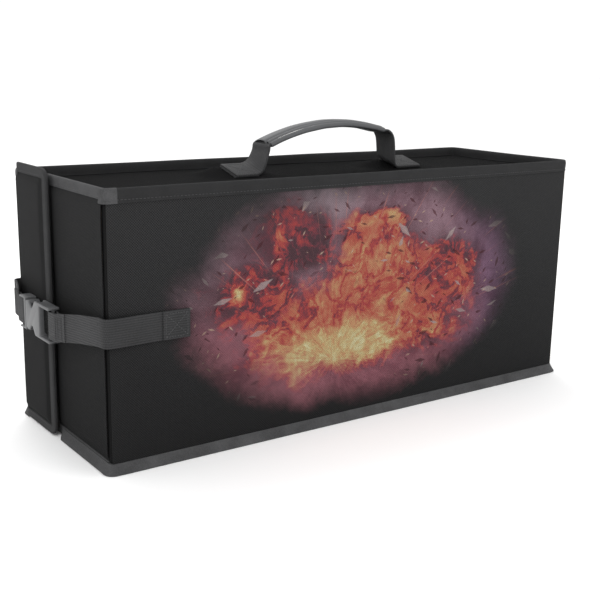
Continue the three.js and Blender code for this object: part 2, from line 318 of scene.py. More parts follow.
fire = {
    "centre": (-0.006, 0.130), "half": (0.208, 0.110), "fade": (0.74, 1.06),
    "core": (-0.045, 0.066), "cover": 0.93,
    # where the cloud swells: middle, half width and height, heat
    "puffs": {
        "ground": ((-0.01, 0.098), (0.150, 0.050), 0.47),
        "leftFlame": ((-0.135, 0.140), (0.052, 0.034), 0.36),
        "body": ((0.012, 0.130), (0.090, 0.062), 0.60), "rightFlame": ((0.098, 0.142), (0.050, 0.044), 0.42),
        "leftSmoke": ((-0.091, 0.186), (0.056, 0.036), 0.19),
        "topFlame": ((0.000, 0.184), (0.046, 0.030), 0.56),
        "core": ((-0.042, 0.076), (0.082, 0.024), 0.93), "spark": ((-0.153, 0.140), (0.006, 0.011), 0.78),
        "ember": ((-0.110, 0.187), (0.006, 0.012), 0.66),
    },
    "ramp": [
        (0.0, (0.012, 0.005, 0.010)), (0.12, (0.050, 0.010, 0.020)), (0.24, (0.15, 0.014, 0.022)),
        (0.36, (0.34, 0.026, 0.022)), (0.48, (0.40, 0.075, 0.035)), (0.62, (0.44, 0.15, 0.070)),
        (0.78, (0.50, 0.29, 0.12)), (0.90, (0.53, 0.44, 0.19)), (1.0, (0.60, 0.58, 0.32))],
    "drift": 0.06, "puffDrift": (0.05, 0.045),  # how far the swirls carry the lumps and the puffs
    "lumps": (38.0, 0.7), "smallLumps": (120.0, 0.4),  # to the metre, and how deep
    "small": 0.025, "softCore": 0.45, "ragged": 0.30, "edge": (0.60, 1.20),
    "curl": 0.52, "middling": 0.55, "fineCurl": 1.1, "tongueCurl": 0.9, "cracks": 0.26, "body": 0.95,
    "haze": {  # deep and pale tone of each part of the mist
        "upper": ((0.085, 0.040, 0.058), (0.235, 0.150, 0.185)),
        "lower": ((0.115, 0.026, 0.044), (0.340, 0.125, 0.155)),
        "violet": ((0.036, 0.014, 0.044), (0.170, 0.095, 0.165))},
    "hazeHeights": (0.085, 0.165), "hazeRight": (0.085, 0.17), "hazeDrift": (0.05, 0.08),
    "smoke": ((-0.055, 0.222), (0.048, 0.030)), "smokeTone": (0.30, 0.245, 0.275), "smokeMost": 0.75,
    "dust": 0.2, "dustTone": (0.24, 0.115, 0.125),
    "sparks": 0.75, "sparkTone": (0.44, 0.17, 0.14), "sparkReach": (0.09, 0.16),
    "shardReach": (0.06, 0.11), "shardCover": 0.75,
    "ink": (0.004, 0.004, 0.005), "inkCover": 0.16, "inkThreads": 0.10, "fray": 0.10,
    "shards": [  # cells to the metre, longest half length, share of cells, dull and bright tone
        (64.0, 0.0062, 0.50, (0.020, 0.006, 0.010), (0.10, 0.022, 0.026)),
        (27.0, 0.010, 0.55, (0.16, 0.10, 0.11), (0.47, 0.40, 0.38)),
        (88.0, 0.0030, 0.30, (0.30, 0.16, 0.13), (0.52, 0.40, 0.30))],
    "lean": (2.2, 0.9), "least": 0.3, "slim": 0.28, "chipped": 0.9,  # of the splinters
}


# Flung splinters: one in some of the cells, each with its own size and angle.
def shards(look, spot, cell, most, share, ragged):
    x, z, _ = look.split(spot)
    middle, dice = [look.split(look.node("TexVoronoi", {"feature": "F1"}, output, Vector=spot, Scale=cell))
                    for output in ("Position", "Color")]
    dx, dz = x - middle[0], z - middle[1]
    lean = dice[0] * fire["lean"][0] - fire["lean"][1]
    cosine, sine = lean.math("COSINE", lean), lean.sine()
    long = abs(dx * cosine + dz * sine)
    short = abs(dz * cosine - dx * sine)
    size = dice[1] * most + most * fire["least"]
    outline = long / size + short / (size * fire["slim"]) + (ragged - 0.5) * fire["chipped"]
    return look.smooth(outline, 0.80, 1.10, 1.0, 0.0) * dice[2].above(1 - share)


def firePrint(look, cloth, threads):
    x, _, z = look.split(look.place())
    spot = look.join(x, z)
    swirl = look.noise(spot, 11.0, 5.0, 0.6, 0.6)
    swirlTwo = look.noise(look.join(z + 0.7, x), 12.0, 5.0, 0.6, 0.6)
    fine = look.noise(spot, 70.0, 8.0, 0.7, 1.2)
    dx, dz = x - fire["core"][0], z - fire["core"][1]
    angle = look.turn(dz, dx)
    reach = (dx * dx + dz * dz) ** 0.5
    bent = look.join(x + (swirl - 0.5) * fire["drift"], z + (swirlTwo - 0.5) * fire["drift"])
    lumps, smallLumps = [
        look.node("TexVoronoi", {"feature": "SMOOTH_F1"}, "Distance", Vector=bent, Scale=scale) * deep
        for scale, deep in (fire["lumps"], fire["smallLumps"])]
    # everything is torn outwards from the core, in tongues with dark cracks between them
    tongues = look.noise(look.join(angle * 9.0, reach * 34.0), 1.3, 5.0, 0.65, 0.5)
    cracks = look.smooth(abs(look.noise(bent, 30.0, 6.0, 0.62, 0.8) - 0.5), 0.0, 0.075)
    curl = fire["middling"] - lumps - smallLumps
    curl = curl + (fine - 0.5) * fire["fineCurl"] + (tongues - 0.5) * fire["tongueCurl"]

    def away(centre, half):
        a = (x + (swirl - 0.5) * fire["puffDrift"][0] - centre[0]) / half[0]
        b = (z + (swirlTwo - 0.5) * fire["puffDrift"][1] - centre[1]) / half[1]
        return (a * a + b * b) ** 0.5

    body, heat = 0.0, 0.0
    for centre, half, warmth in fire["puffs"].values():
        soft = fire["softCore"] if half[1] < fire["small"] else 0.0
        near, far = fire["edge"][0] - soft, fire["edge"][1] + soft
        part = look.smooth(away(centre, half) - curl * fire["ragged"], near, far, 1.0, 0.0)
        heat = heat * (1 - part) + part * warmth
        body = part if isinstance(body, float) else look.either(body, part)
    cool = look.smooth(heat, 0.55, 0.85, 1.0, 0.25)
    heat = (heat + curl * fire["curl"] - (1 - cracks) * fire["cracks"] * cool).clamped()
    flame = look.node("ValToRGB", {"stops": fire["ramp"]}, Fac=heat)
    # haze: pale lilac above, violet to the right, rose below
    cloud = look.noise(spot, 17.0, 8.0, 0.66, 0.5)
    wisps = look.smooth(cloud + (tongues - 0.5) * 0.35, 0.28, 0.70)
    upper, lower, violet = [look.tint(*fire["haze"][part], wisps) for part in ("upper", "lower", "violet")]
    climb, drift = z + (swirl - 0.5) * fire["hazeDrift"][0], x + (swirl - 0.5) * fire["hazeDrift"][1]
    haze = look.tint(lower, upper, look.smooth(climb, *fire["hazeHeights"]))
    haze = look.tint(haze, violet, look.smooth(drift, *fire["hazeRight"]))
    smoke = look.smooth(away(*fire["smoke"]), 0.2, 1.1, fire["smokeMost"], 0.0)
    haze = look.tint(haze, fire["smokeTone"], smoke)
    picture = look.tint(haze, flame, body * fire["body"])
    picture = look.tint(picture, fire["dustTone"], fire["dust"])
    # bright lines thrown outwards from the core
    streaks = look.noise(look.join(angle * 30.0, reach * 3.0), 1.7, 2.0)
    glow = look.smooth(streaks, 0.62, 0.72) * look.smooth(reach, *fire["sparkReach"])
    picture = look.tint(picture, fire["sparkTone"], glow * fire["sparks"])
    for cell, most, share, dull, pale in fire["shards"]:
        shown = shards(look, spot, cell, most, share, fine) * look.smooth(reach, *fire["shardReach"])
        picture = look.tint(picture, look.tint(dull, pale, fine), shown * fire["shardCover"])
    picture = look.tint(picture, fire["ink"], fire["inkCover"] - threads * fire["inkThreads"])
    rim = away(fire["centre"], fire["half"]) + (fine - 0.5) * fire["fray"]
    cover = look.smooth(rim, *fire["fade"], 1.0, 0.0)
    return look.tint(cloth, picture, cover * fire["cover"])


tape = {
    "rib": 0.85 * mm, "dark": (0.010, 0.010, 0.0105), "light": (0.040, 0.040, 0.041),
    "ribs": 0.28, "wear": 0.6, "fuzz": 0.4, "base": -0.05, "wearScale": 60.0, "fuzzScale": 900.0,
    "rough": 0.6, "roughWear": 0.2, "gloss": 0.14, "relief": 0.25 * mm, "fuzzRelief": 0.8, "bump": 0.7,
}


def tapeLook(name="ribbed_tape", gain=1.0):
    look = Finish(name)
    u, v = look.cloth()
    ribs = [(way * (2 * math.pi / tape["rib"])).sine() * 0.5 for way in (u, v)]
    ribs = ribs[0] + ribs[1]
    wear = look.noise(look.place(), tape["wearScale"], 5.0)
    fuzz = look.noise(look.place(), tape["fuzzScale"], 2.0)
    lit = ribs * tape["ribs"] + wear * tape["wear"] + fuzz * tape["fuzz"] + tape["base"]
    look.shader(look.tint(tape["dark"], toned(tape["light"], gain), lit.clamped()),
                Roughness=wear * tape["roughWear"] + tape["rough"], Specular_IOR_Level=tape["gloss"])
    look.bump(ribs + fuzz * tape["fuzzRelief"], tape["relief"], tape["bump"])
    return look.material


web = {
    "cord": 2.1 * mm, "pick": 1.25 * mm, "slant": 1.6,
    "dark": (0.012, 0.012, 0.0125), "light": (0.072, 0.072, 0.074),
    "cords": 0.7, "picks": 0.3, "threads": 0.45, "wear": 0.4, "fuzz": 0.3, "base": -0.1,
    "wearScale": 45.0, "fuzzScale": 1100.0, "rough": 0.52, "roughWear": 0.2, "gloss": 0.14,
    "relief": 0.45 * mm, "fuzzRelief": 0.4, "bump": 0.8,
}


# shade paints light and shade on the webbing, where it is lighter or darker: an axis, two distances along it,
# a strength at each
def webLook(name="woven_webbing", upright=False, gain=1.0, shade=None):
    look = Finish(name)
    u, v = look.cloth()
    along, across = (v, u) if upright else (u, v)
    cords = abs((across * (math.pi / web["cord"])).sine())
    slant = (across * (math.pi / web["cord"])).sine() * web["slant"]
    picks = (along * (2 * math.pi / web["pick"]) + slant).sine()
    wear = look.noise(look.place(), web["wearScale"], 4.0)
    fuzz = look.noise(look.place(), web["fuzzScale"], 2.0)
    height = cords * web["cords"] + picks * web["picks"]
    lit = height * web["threads"] + wear * web["wear"] + fuzz * web["fuzz"] + web["base"]
    # painted light and shade: lighter or darker by distance from the middle along one axis
    if shade:
        axis, *ends = shade
        lit = lit * look.smooth(abs(look.split(look.place())[axis]), *ends)
    look.shader(look.tint(toned(web["dark"], gain), toned(web["light"], gain), lit.clamped()),
                Roughness=wear * web["roughWear"] + web["rough"], Specular_IOR_Level=web["gloss"])
    look.bump(height + fuzz * web["fuzzRelief"], web["relief"], web["bump"])
    return look.material


thread = {"scale": 900.0, "twist": 2.0, "dark": 0.55, "rough": 0.55, "relief": 0.15 * mm, "bump": 0.6}


def threadLook(name, tone):
    look = Finish(name)
    ply = look.node("TexWave", {"wave_type": "BANDS", "bands_direction": "DIAGONAL"},
                    Vector=look.place(), Scale=thread["scale"], Distortion=thread["twist"])
    look.shader(look.tint(toned(tone, thread["dark"]), tone, ply), Roughness=thread["rough"])
    look.bump(ply, thread["relief"], thread["bump"])
    return look.material


plastic = {
    "dark": (0.055, 0.056, 0.058), "light": (0.118, 0.119, 0.123), "flow": 0.8, "scuffs": 0.35,
    "grainScale": 1500.0, "flowScale": 70.0, "scuffScale": 240.0, "scuffEdge": (0.58, 0.7),
    "rough": 0.28, "roughFlow": 0.2, "roughScuffs": 0.15, "gloss": 0.5, "relief": 0.06 * mm, "bump": 0.6,
}


def plasticLook():
    look = Finish("moulded_grey_plastic")
    grain = look.noise(look.place(), plastic["grainScale"], 3.0)
    flow = look.noise(look.place(), plastic["flowScale"], 4.0)
    scuffs = look.smooth(look.noise(look.place(), plastic["scuffScale"], 6.0, 0.7), *plastic["scuffEdge"])
    lit = flow * plastic["flow"] + scuffs * plastic["scuffs"]
    rough = flow * plastic["roughFlow"] + scuffs * plastic["roughScuffs"] + plastic["rough"]
    look.shader(look.tint(plastic["dark"], plastic["light"], lit.clamped()), Roughness=rough,
                Specular_IOR_Level=plastic["gloss"])
    look.bump(grain + scuffs * 0.5, plastic["relief"], plastic["bump"])
    return look.material


leather = {
    "dark": (0.030, 0.031, 0.033), "light": (0.098, 0.100, 0.105), "wear": 0.8, "creases": 0.3, "base": -0.05,
    "pebbleScale": 900.0, "creaseScale": 320.0, "wearScale": 28.0,
    "rough": 0.39, "roughWear": 0.2, "roughCreases": 0.14, "gloss": 0.45, "relief": 0.12 * mm, "bump": 0.5,
}


def leatherLook():
    look = Finish("grey_grip_leather")
    pebble = look.node("TexVoronoi", {"feature": "SMOOTH_F1"}, "Distance", Vector=look.place(),
                       Scale=leather["pebbleScale"])
    creases = look.noise(look.place(), leather["creaseScale"], 5.0, 0.6)
    wear = look.noise(look.place(), leather["wearScale"], 4.0)
    lit = wear * leather["wear"] + creases * leather["creases"] + leather["base"]
    rough = wear * leather["roughWear"] + creases * leather["roughCreases"] + leather["rough"]
    look.shader(look.tint(leather["dark"], leather["light"], lit.clamped()), Roughness=rough,
                Specular_IOR_Level=leather["gloss"])
    look.bump(pebble * 0.8 + creases * 0.6, leather["relief"], leather["bump"])
    return look.material


board = {
    "dark": (0.16, 0.13, 0.09), "light": (0.34, 0.29, 0.21), "fibreScale": 260.0, "cloudScale": 20.0,
    "fibres": 0.6, "clouds": 0.5, "base": -0.05, "rough": 0.82, "relief": 0.2 * mm, "bump": 0.5,
}


def boardLook():
    look = Finish("fibre_board")
    fibres = look.noise(look.place(), board["fibreScale"], 6.0, 0.7)
    clouds = look.noise(look.place(), board["cloudScale"], 4.0)
    lit = fibres * board["fibres"] + clouds * board["clouds"] + board["base"]
    look.shader(look.tint(board["dark"], board["light"], lit.clamped()),
                Roughness=clouds * 0.1 + board["rough"])
    look.bump(fibres, board["relief"], board["bump"])
    return look.material


glassCloth = {
    "pitch": 1.8 * mm, "slant": 0.5, "dark": (0.19, 0.195, 0.20), "light": (0.46, 0.47, 0.48),
    "threads": 0.25, "creases": 0.8, "creaseScale": 30.0, "rough": 0.38, "metal": 0.15, "varies": 0.3,
    "relief": 0.3 * mm, "creaseRelief": 3.0, "bump": 0.6,
}


def liningLook():
    look = Finish("silver_glass_cloth")
    x, y, z = look.split(look.place())
    turns, slant = math.pi / glassCloth["pitch"], glassCloth["slant"]
    threads = ((x + y) * turns).sine() * ((z + y * slant - x * slant) * turns).sine()
    creases = look.noise(look.place(), glassCloth["creaseScale"], 6.0, 0.65)
    lit = threads * glassCloth["threads"] + creases * glassCloth["creases"]
    look.shader(look.tint(glassCloth["dark"], glassCloth["light"], lit.clamped()),
                Roughness=creases * glassCloth["varies"] + glassCloth["rough"],
                Metallic=creases * glassCloth["varies"] + glassCloth["metal"])
    look.bump(threads + creases * glassCloth["creaseRelief"], glassCloth["relief"], glassCloth["bump"])
    return look.material


foam = {"dark": (0.55, 0.55, 0.51), "light": (0.8, 0.8, 0.76), "cellScale": 1300.0, "rough": 0.85,
        "relief": 0.2 * mm, "bump": 0.6}


def foamLook():
    look = Finish("grip_foam")
    cells = look.node("TexVoronoi", None, "Distance", Vector=look.place(), Scale=foam["cellScale"])
    look.shader(look.tint(foam["dark"], foam["light"], cells), Roughness=cells * 0.1 + foam["rough"])
    look.bump(cells, foam["relief"], foam["bump"])
    return look.material


def only(piece):
    if bpy.context.object and bpy.context.object.mode != "OBJECT":
        bpy.ops.object.mode_set(mode="OBJECT")
    bpy.ops.object.select_all(action="DESELECT")
    piece.select_set(True)
    bpy.context.view_layer.objects.active = piece


def applyModifiers(piece):
    only(piece)
    for modifier in list(piece.modifiers):
        bpy.ops.object.modifier_apply(modifier=modifier.name)


def settle(piece, name):
    only(piece)
    piece.name = name
    piece.data.name = name
    bpy.ops.object.transform_apply(location=True, rotation=True, scale=True)


# Lays the cloth coordinates on a piece, in metres, from whichever way each face looks.
def clothMap(piece):
    layer = piece.data.uv_layers.get("cloth") or piece.data.uv_layers.new(name="cloth")
    for polygon in piece.data.polygons:
        n = [abs(c) for c in polygon.normal]
        flat = (0, 2) if n[1] >= max(n[0], n[2]) else (1, 2) if n[0] >= n[2] else (0, 1)
        for corner in polygon.loop_indices:
            spot = piece.data.vertices[piece.data.loops[corner].vertex_index].co
            layer.data[corner].uv = (spot[flat[0]], spot[flat[1]])


def finishPiece(piece, body, material, replaced=(), smooth=40):
    only(piece)
    if smooth:
        bpy.ops.object.shade_smooth_by_angle(angle=math.radians(smooth))
    for other in [layer for layer in piece.data.uv_layers if layer.name != "cloth"]:
        piece.data.uv_layers.remove(other)
    clothMap(piece)
    piece.data.materials.clear()
    piece.data.materials.append(material)
    if replaced:
        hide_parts(*replaced)
    if body:
        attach(piece, body)
    return piece


# A bent line with its inner corners rounded off.
def rounded(points, radius, steps=6):
    points = [Vector(p) for p in points]
    smoothLine = [points[0]]
    for before, corner, after in zip(points, points[1:], points[2:]):
        backward, forward = before - corner, after - corner
        reach = min(radius, backward.length * 0.48, forward.length * 0.48)
        start = corner + backward.normalized() * reach
        end = corner + forward.normalized() * reach
        for step in range(steps + 1):
            t = step / steps
            smoothLine.append(start * (1 - t) ** 2 + corner * 2 * t * (1 - t) + end * t ** 2)
    return smoothLine + [points[-1]]


# The same line with no step longer than a given length.
def spaced(points, most):
    line = [points[0]]
    for start, end in zip(points, points[1:]):
        count = max(1, math.ceil((end - start).length / most))
        line += [start.lerp(end, (i + 1) / count) for i in range(count)]
    return line


# Pulls a closed profile (outward, along the normal) down a route, by repeated extrusion.
def sweep(name, profile, route, normal):
    route = [Vector(p) for p in route]

    def station(i):
        before, after = route[max(i - 1, 0)], route[min(i + 1, len(route) - 1)]
        along = after - before
        along = (along - normal * along.dot(normal)).normalized()
        out = along.cross(normal)
        grid = Matrix((out, normal, along)).transposed().to_4x4()
        return Matrix.Translation(route[i]) @ grid

    bpy.ops.object.select_all(action="DESELECT")
    bpy.ops.mesh.primitive_circle_add(vertices=len(profile), fill_type="NGON")
    piece = bpy.context.object
    piece.name = piece.data.name = name
    for vertex, (outward, up) in zip(piece.data.vertices, profile):
        vertex.co = station(0) @ Vector((outward, up, 0))
    bpy.ops.object.mode_set(mode="EDIT")
    bpy.ops.mesh.select_all(action="SELECT")
    for i in range(1, len(route)):
        bpy.ops.mesh.extrude_region_move()
        shape = bmesh.from_edit_mesh(piece.data)
        moved = [v for v in shape.verts if v.select]
        bmesh.ops.transform(shape, matrix=station(i) @ station(i - 1).inverted(), verts=moved)
        bmesh.update_edit_mesh(piece.data)
    bpy.ops.mesh.select_all(action="SELECT")
    bpy.ops.mesh.normals_make_consistent(inside=False)
    bpy.ops.object.mode_set(mode="OBJECT")
    return piece


# A flat profile with round edges, thick outwards and wide along the normal.
def slab(wide, thick, corner, perCorner=3):
    spots = []
    for cx, cy, first in ((1, 1, 0), (-1, 1, 90), (-1, -1, 180), (1, -1, 270)):
        for step in range(perCorner):
            angle = math.radians(first + 90 * step / (perCorner - 1))
            spots.append((cx * (thick / 2 - corner) + corner * math.cos(angle),
                          cy * (wide / 2 - corner) + corner * math.sin(angle)))
    return spots


def boxOf(node):
    low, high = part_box(node)
    return Vector(low), Vector(high)


edges = {"merge": 0.02 * mm, "flat": 1, "sharp": 25, "segments": 3}  # angles in degrees


# A merged copy of a CAD node with its hard edges rounded.
def softCopy(node, name, width):
    only(nodes[node])
    bpy.ops.object.duplicate()
    piece = bpy.context.object
    piece.name = piece.data.name = name
    piece.parent = None
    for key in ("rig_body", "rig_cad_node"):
        if key in piece:
            del piece[key]
    bpy.ops.object.mode_set(mode="EDIT")
    bpy.ops.mesh.select_all(action="SELECT")
    bpy.ops.mesh.remove_doubles(threshold=edges["merge"])
    bpy.ops.mesh.dissolve_limited(angle_limit=math.radians(edges["flat"]))
    bpy.ops.object.mode_set(mode="OBJECT")
    bevel = piece.modifiers.new("round", "BEVEL")
    bevel.width, bevel.segments, bevel.limit_method = width, edges["segments"], "ANGLE"
    bevel.angle_limit = math.radians(edges["sharp"])
    bevel.use_clamp_overlap = True
    applyModifiers(piece)
    return piece


wall = {
    "bulge": 2.2 * mm, "endBulge": 0.7, "domePower": 3.2, "ripple": 0.55 * mm, "rippleScale": 13.0,
    "rippleShift": (7.3, 3.1), "cornerRadius": 4.5 * mm, "thick": 1.0 * mm, "gridStep": 6.0 * mm,
    "footSeam": 8.0 * mm, "tuck": 1.5 * mm, "mouthReach": 4.6 * mm,
    "bottomLift": 5.0 * mm, "bottomRun": 14 * mm,
}
top = {  # the crown, the swell beside the tape, and the ridge that the handle draws up
    "crown": 3.5 * mm, "crownRun": 16 * mm, "swell": 2.5 * mm, "swellRun": 7 * mm,
    "ridge": 8.0 * mm, "ridgeBeside": 26 * mm, "ridgeBehind": 38 * mm, "rippleScale": 15.0,
}


# A fine flat sheet of cloth filling a box's outer face, ready to be shaped.
def clothGrid(name, low, high, axis, outward):
    middle = (low + high) / 2
    size = high - low
    flat = [i for i in range(3) if i != axis]
    counts = [max(4, round(size[i] / wall["gridStep"])) for i in flat]
    turns = {0: (math.pi / 2, 0, math.pi / 2), 1: (math.pi / 2, 0, 0), 2: (0, 0, 0)}
    bpy.ops.object.select_all(action="DESELECT")
    bpy.ops.mesh.primitive_grid_add(x_subdivisions=counts[0], y_subdivisions=counts[1], size=1,
                                    location=middle, rotation=turns[axis])
    sheet = bpy.context.object
    sheet.scale = (size[flat[0]], size[flat[1]], 1)
    settle(sheet, name)
    face = high[axis] if outward > 0 else low[axis]
    for vertex in sheet.data.vertices:
        vertex.co[axis] = face
    return sheet


# Swells the sheet between its seams, with the slow ripple of stretched cloth.
def billow(sheet, low, high, axis, outward, bulge):
    flat = [i for i in range(3) if i != axis]
    for vertex in sheet.data.vertices:
        share = [(vertex.co[i] - low[i]) / (high[i] - low[i]) for i in flat]
        dome = 1.0
        for s in share:
            dome *= max(0.0, 1 - abs(2 * s - 1) ** wall["domePower"])
        shift = Vector((axis * wall["rippleShift"][0], outward * wall["rippleShift"][1], 0))
        wave = noise.noise(vertex.co * wall["rippleScale"] + shift)
        vertex.co[axis] += outward * (bulge * dome + wall["ripple"] * wave * min(1, dome * 3))


# Gives the sheet its thickness on the inside, and turns its faces outwards.
def thicken(sheet, axis, outward, thick):
    only(sheet)
    bpy.ops.object.mode_set(mode="EDIT")
    bpy.ops.mesh.select_all(action="SELECT")
    bpy.ops.mesh.normals_make_consistent(inside=False)
    bpy.ops.object.mode_set(mode="OBJECT")
    total = sum(p.normal[axis] * p.area for p in sheet.data.polygons)
    if total * outward < 0:
        sheet.data.flip_normals()
    solid = sheet.modifiers.new("thick", "SOLIDIFY")
    solid.thickness, solid.offset = thick, -1
    applyModifiers(sheet)


# Bends the cloth past x0 round an upright corner; side is -1 at the front, +1 at the back.
def wrapCorner(sheet, x0, y0, radius, side):
    for vertex in sheet.data.vertices:
        past = vertex.co.x - (x0 - radius)
        if past > 0:
            angle = past / radius
            depth = side * (vertex.co.y - y0)
            spread = radius + depth
            vertex.co.x = x0 - radius + math.sin(angle) * spread
            vertex.co.y = y0 - side * radius + side * math.cos(angle) * spread


def easing(value):
    value = max(0.0, min(1.0, value))
    return value * value * (3 - 2 * value)


def topHeight(x, y, low, high):
    edge = min(high.y - y, y - low.y, high.x - x)
    crown = top["crown"] * easing(edge / top["crownRun"])
    crown += top["swell"] * max(0.0, 1 - edge / top["swellRun"]) ** 2
    patches = [boxOf(side + "_handle_patch") for side in ("left", "right")]
    pull = max(easing(1 - max(a.x - x, x - b.x, 0) / top["ridgeBeside"]) for a, b in patches)
    front, rear = patches[0][0].y, patches[0][1].y
    climb = (y - front) / (rear - front) if y < rear else 1 - easing((y - rear) / top["ridgeBehind"])
    ripple = wall["ripple"] * noise.noise(Vector((x, y, 0)) * top["rippleScale"])
    return high.z + crown + top["ridge"] * max(0.0, climb) * pull + ripple


def makeWalls(looks):
    radius = wall["cornerRadius"]
    for side, node, look in ((-1, "front_panel", looks["print"]), (1, "back_panel", looks["shell"])):
        low, high = boxOf(node)
        cornerX = high.x
        faceY = low.y if side < 0 else high.y
        high.x = cornerX - radius + radius * math.pi / 2
        low.z = wall["footSeam"] - wall["tuck"]
        low.x -= wall["mouthReach"]
        sheet = clothGrid(node.replace("panel", "cloth"), low, high, 1, side)
        billow(sheet, low, high, 1, side, wall["bulge"])
        wrapCorner(sheet, cornerX, faceY, radius, side)
        thicken(sheet, 1, side, wall["thick"])
        finishPiece(sheet, "box", look, (node,))
    low, high = boxOf("end_panel")
    low.z = wall["footSeam"] - wall["tuck"]
    low.y, high.y = low.y + radius - wall["tuck"], high.y - radius + wall["tuck"]
    sheet = clothGrid("end_cloth", low, high, 0, 1)
    billow(sheet, low, high, 0, 1, wall["bulge"] * wall["endBulge"])
    thicken(sheet, 0, 1, wall["thick"])
    finishPiece(sheet, "box", looks["shell"], ("end_panel",))
    # the top is crowned, and drawn up in a ridge where the handle pulls
    low, high = boxOf("top_panel")
    sheet = clothGrid("top_cloth", low, high, 2, 1)
    for vertex in sheet.data.vertices:
        vertex.co.z = topHeight(vertex.co.x, vertex.co.y, low, high)
    thicken(sheet, 2, 1, wall["thick"])
    finishPiece(sheet, "box", looks["topCloth"], ("top_panel",))
    low, high = boxOf("bottom_panel")
    sheet = clothGrid("bottom_cloth", low, high, 2, -1)
    for vertex in sheet.data.vertices:
        edge = min(high.y - vertex.co.y, vertex.co.y - low.y, high.x - vertex.co.x)
        vertex.co.z += wall["bottomLift"] * max(0.0, 1 - edge / wall["bottomRun"]) ** 2
    thicken(sheet, 2, -1, wall["thick"])
    finishPiece(sheet, "box", looks["shell"], ("bottom_panel",))
    for part in ("front", "back", "end", "top", "bottom"):
        dress(part + "_board", looks["board"])
        dress(part + "_lining", looks["lining"])
    print("walls done")


def dress(node, material):
    nodes[node].data.materials.clear()
    nodes[node].data.materials.append(material)


binding = {
    "thick": 3.8 * mm, "drop": 0.5 * mm, "cornerRadius": 8 * mm, "step": 12 * mm, "joinRim": 8.5 * mm,
    "rimIn": 0.6 * mm, "footIn": 0.2 * mm, "wobble": 0.6 * mm, "wobbleScale": 9.0,
    "footLean": 4.6 * mm, "footThick": 3.2 * mm, "mouthRound": 0.4 * mm,
    "stitchPitch": 3.4 * mm, "stitch": (2.4 * mm, 0.55 * mm),  # stitches are long and wide
}


# Profile of tape folded over a seam: round at its outer edge, pinched at its stitch line.
def foldedTape(low, high, thick):
    half = thick / 2
    tall = high - low
    spots = [(half * 0.92, 0.0), (half * 1.1, 0.10), (half * 0.86, 0.22), (half * 1.06, 0.45),
             (half * 1.06, 0.72), (half * 0.85, 0.90), (half * 0.45, 0.98), (0, 1.0)]
    mirror = [(-a, b) for a, b in reversed(spots[:-1])]
    return [(a, low + tall * b) for a, b in spots + mirror]


def makeRim(looks):
    low, high = boxOf("top_binding")
    cloth = boxOf("front_panel")
    left = low.x + binding["joinRim"]
    rimProfile = foldedTape(low.z - binding["drop"], high.z, binding["thick"])
    for name, node, profile, look, seam, wobble in (
        ("rim_tape", "top_binding", rimProfile, looks["tape"], binding["rimIn"], binding["wobble"]),
        ("foot_tape", "bottom_binding", footProfile(), looks["paleTape"], binding["footIn"], 0.0),
    ):
        y, right = -cloth[0].y - seam, cloth[1].x - seam
        route = [(left, -y, 0), (right, -y, 0), (right, y, 0), (left, y, 0)]
        route = spaced(rounded(route, binding["cornerRadius"], 8), binding["step"])
        for spot in route:
            spot.z += wobble * noise.noise(spot * binding["wobbleScale"])
        piece = sweep(name, profile, route, zAxis)
        finishPiece(piece, "box", look, (node,))
    for node in ("mouth_top_binding", "mouth_bottom_binding"):
        piece = softCopy(node, node.replace("binding", "tape"), binding["mouthRound"])
        finishPiece(piece, "box", looks["tape"], (node,))
    print("rim and foot done")


# Tape folded round the bottom seam: it hangs from the seam and leans out to the ground.
def footProfile(extra=0.0):
    top = wall["footSeam"] + 1.0 * mm
    half = binding["footThick"] / 2 + extra
    lean = binding["footLean"]
    outer = [(half * 0.6, top + 0.2 * mm), (half * 1.0, top - 1.2 * mm), (half + lean * 0.35, top - 4 * mm),
             (half + lean * 0.8, 2.2 * mm), (half + lean, 0.9 * mm), (half * 0.6 + lean, 0.15 * mm)]
    inner = [(lean - half * 0.4, 0.0), (lean - half * 1.1, 0.6 * mm), (lean * 0.7 - half, 2.4 * mm),
             (lean * 0.3 - half, 5 * mm), (-half, top - 1.2 * mm), (-half * 0.6, top + 0.2 * mm)]
    return outer + inner


flap = {
    "corner": 13 * mm, "innerCorner": 4 * mm, "edge": 0.3 * mm, "step": 10 * mm, "bandThick": 3.7 * mm,
    "band": {"inner_flap": 9.5 * mm, "outer_flap": 9 * mm},
    # half of the band's section: share of its width from the edge, share of half its thickness
    "section": [(1, 0.9), (0.9, 1.12), (0.8, 0.9), (0.5, 1.05), (0.24, 1.05), (0.09, 0.92), (0.02, 0.66),
                (0, 0.28)],
    "clothInset": 2.0 * mm, "clothThick": 0.9 * mm, "liningInset": 4 * mm, "liningThick": 0.7 * mm,
    "puff": 0.65 * mm, "sunk": 0.6 * mm, "overBand": 3 * mm, "climb": 7 * mm, "wave": 0.5 * mm,
    "waveScale": 16.0,
}


# A fine sheet from x0 to x1, set in from the flap's free edges, with round free corners.
def flapSheet(name, x0, x1, fold, tip, heights, inset, radius, outward):
    way = 1 if tip > fold else -1
    low = Vector((x0, min(fold, tip) + (inset if way < 0 else 0), heights[0] + inset))
    high = Vector((x1, max(fold, tip) - (inset if way > 0 else 0), heights[1] - inset))
    sheet = clothGrid(name, low, high, 0, outward)
    roundOff(sheet, tip - way * inset, low.z, high.z, way, radius)
    return sheet, low.z, high.z


# Where a flap starts and ends across the mouth, and the middle of its thickness.
def flapLine(name, normal):
    low, high = boxOf(name + "_binding")
    cloth = boxOf(name + "_panel")
    fold, tip = (cloth[0].y, high.y) if normal.x > 0 else (cloth[1].y, low.y)
    return fold, tip, 1 if tip > fold else -1, (cloth[0].x + boxOf(name + "_lining")[1].x) / 2


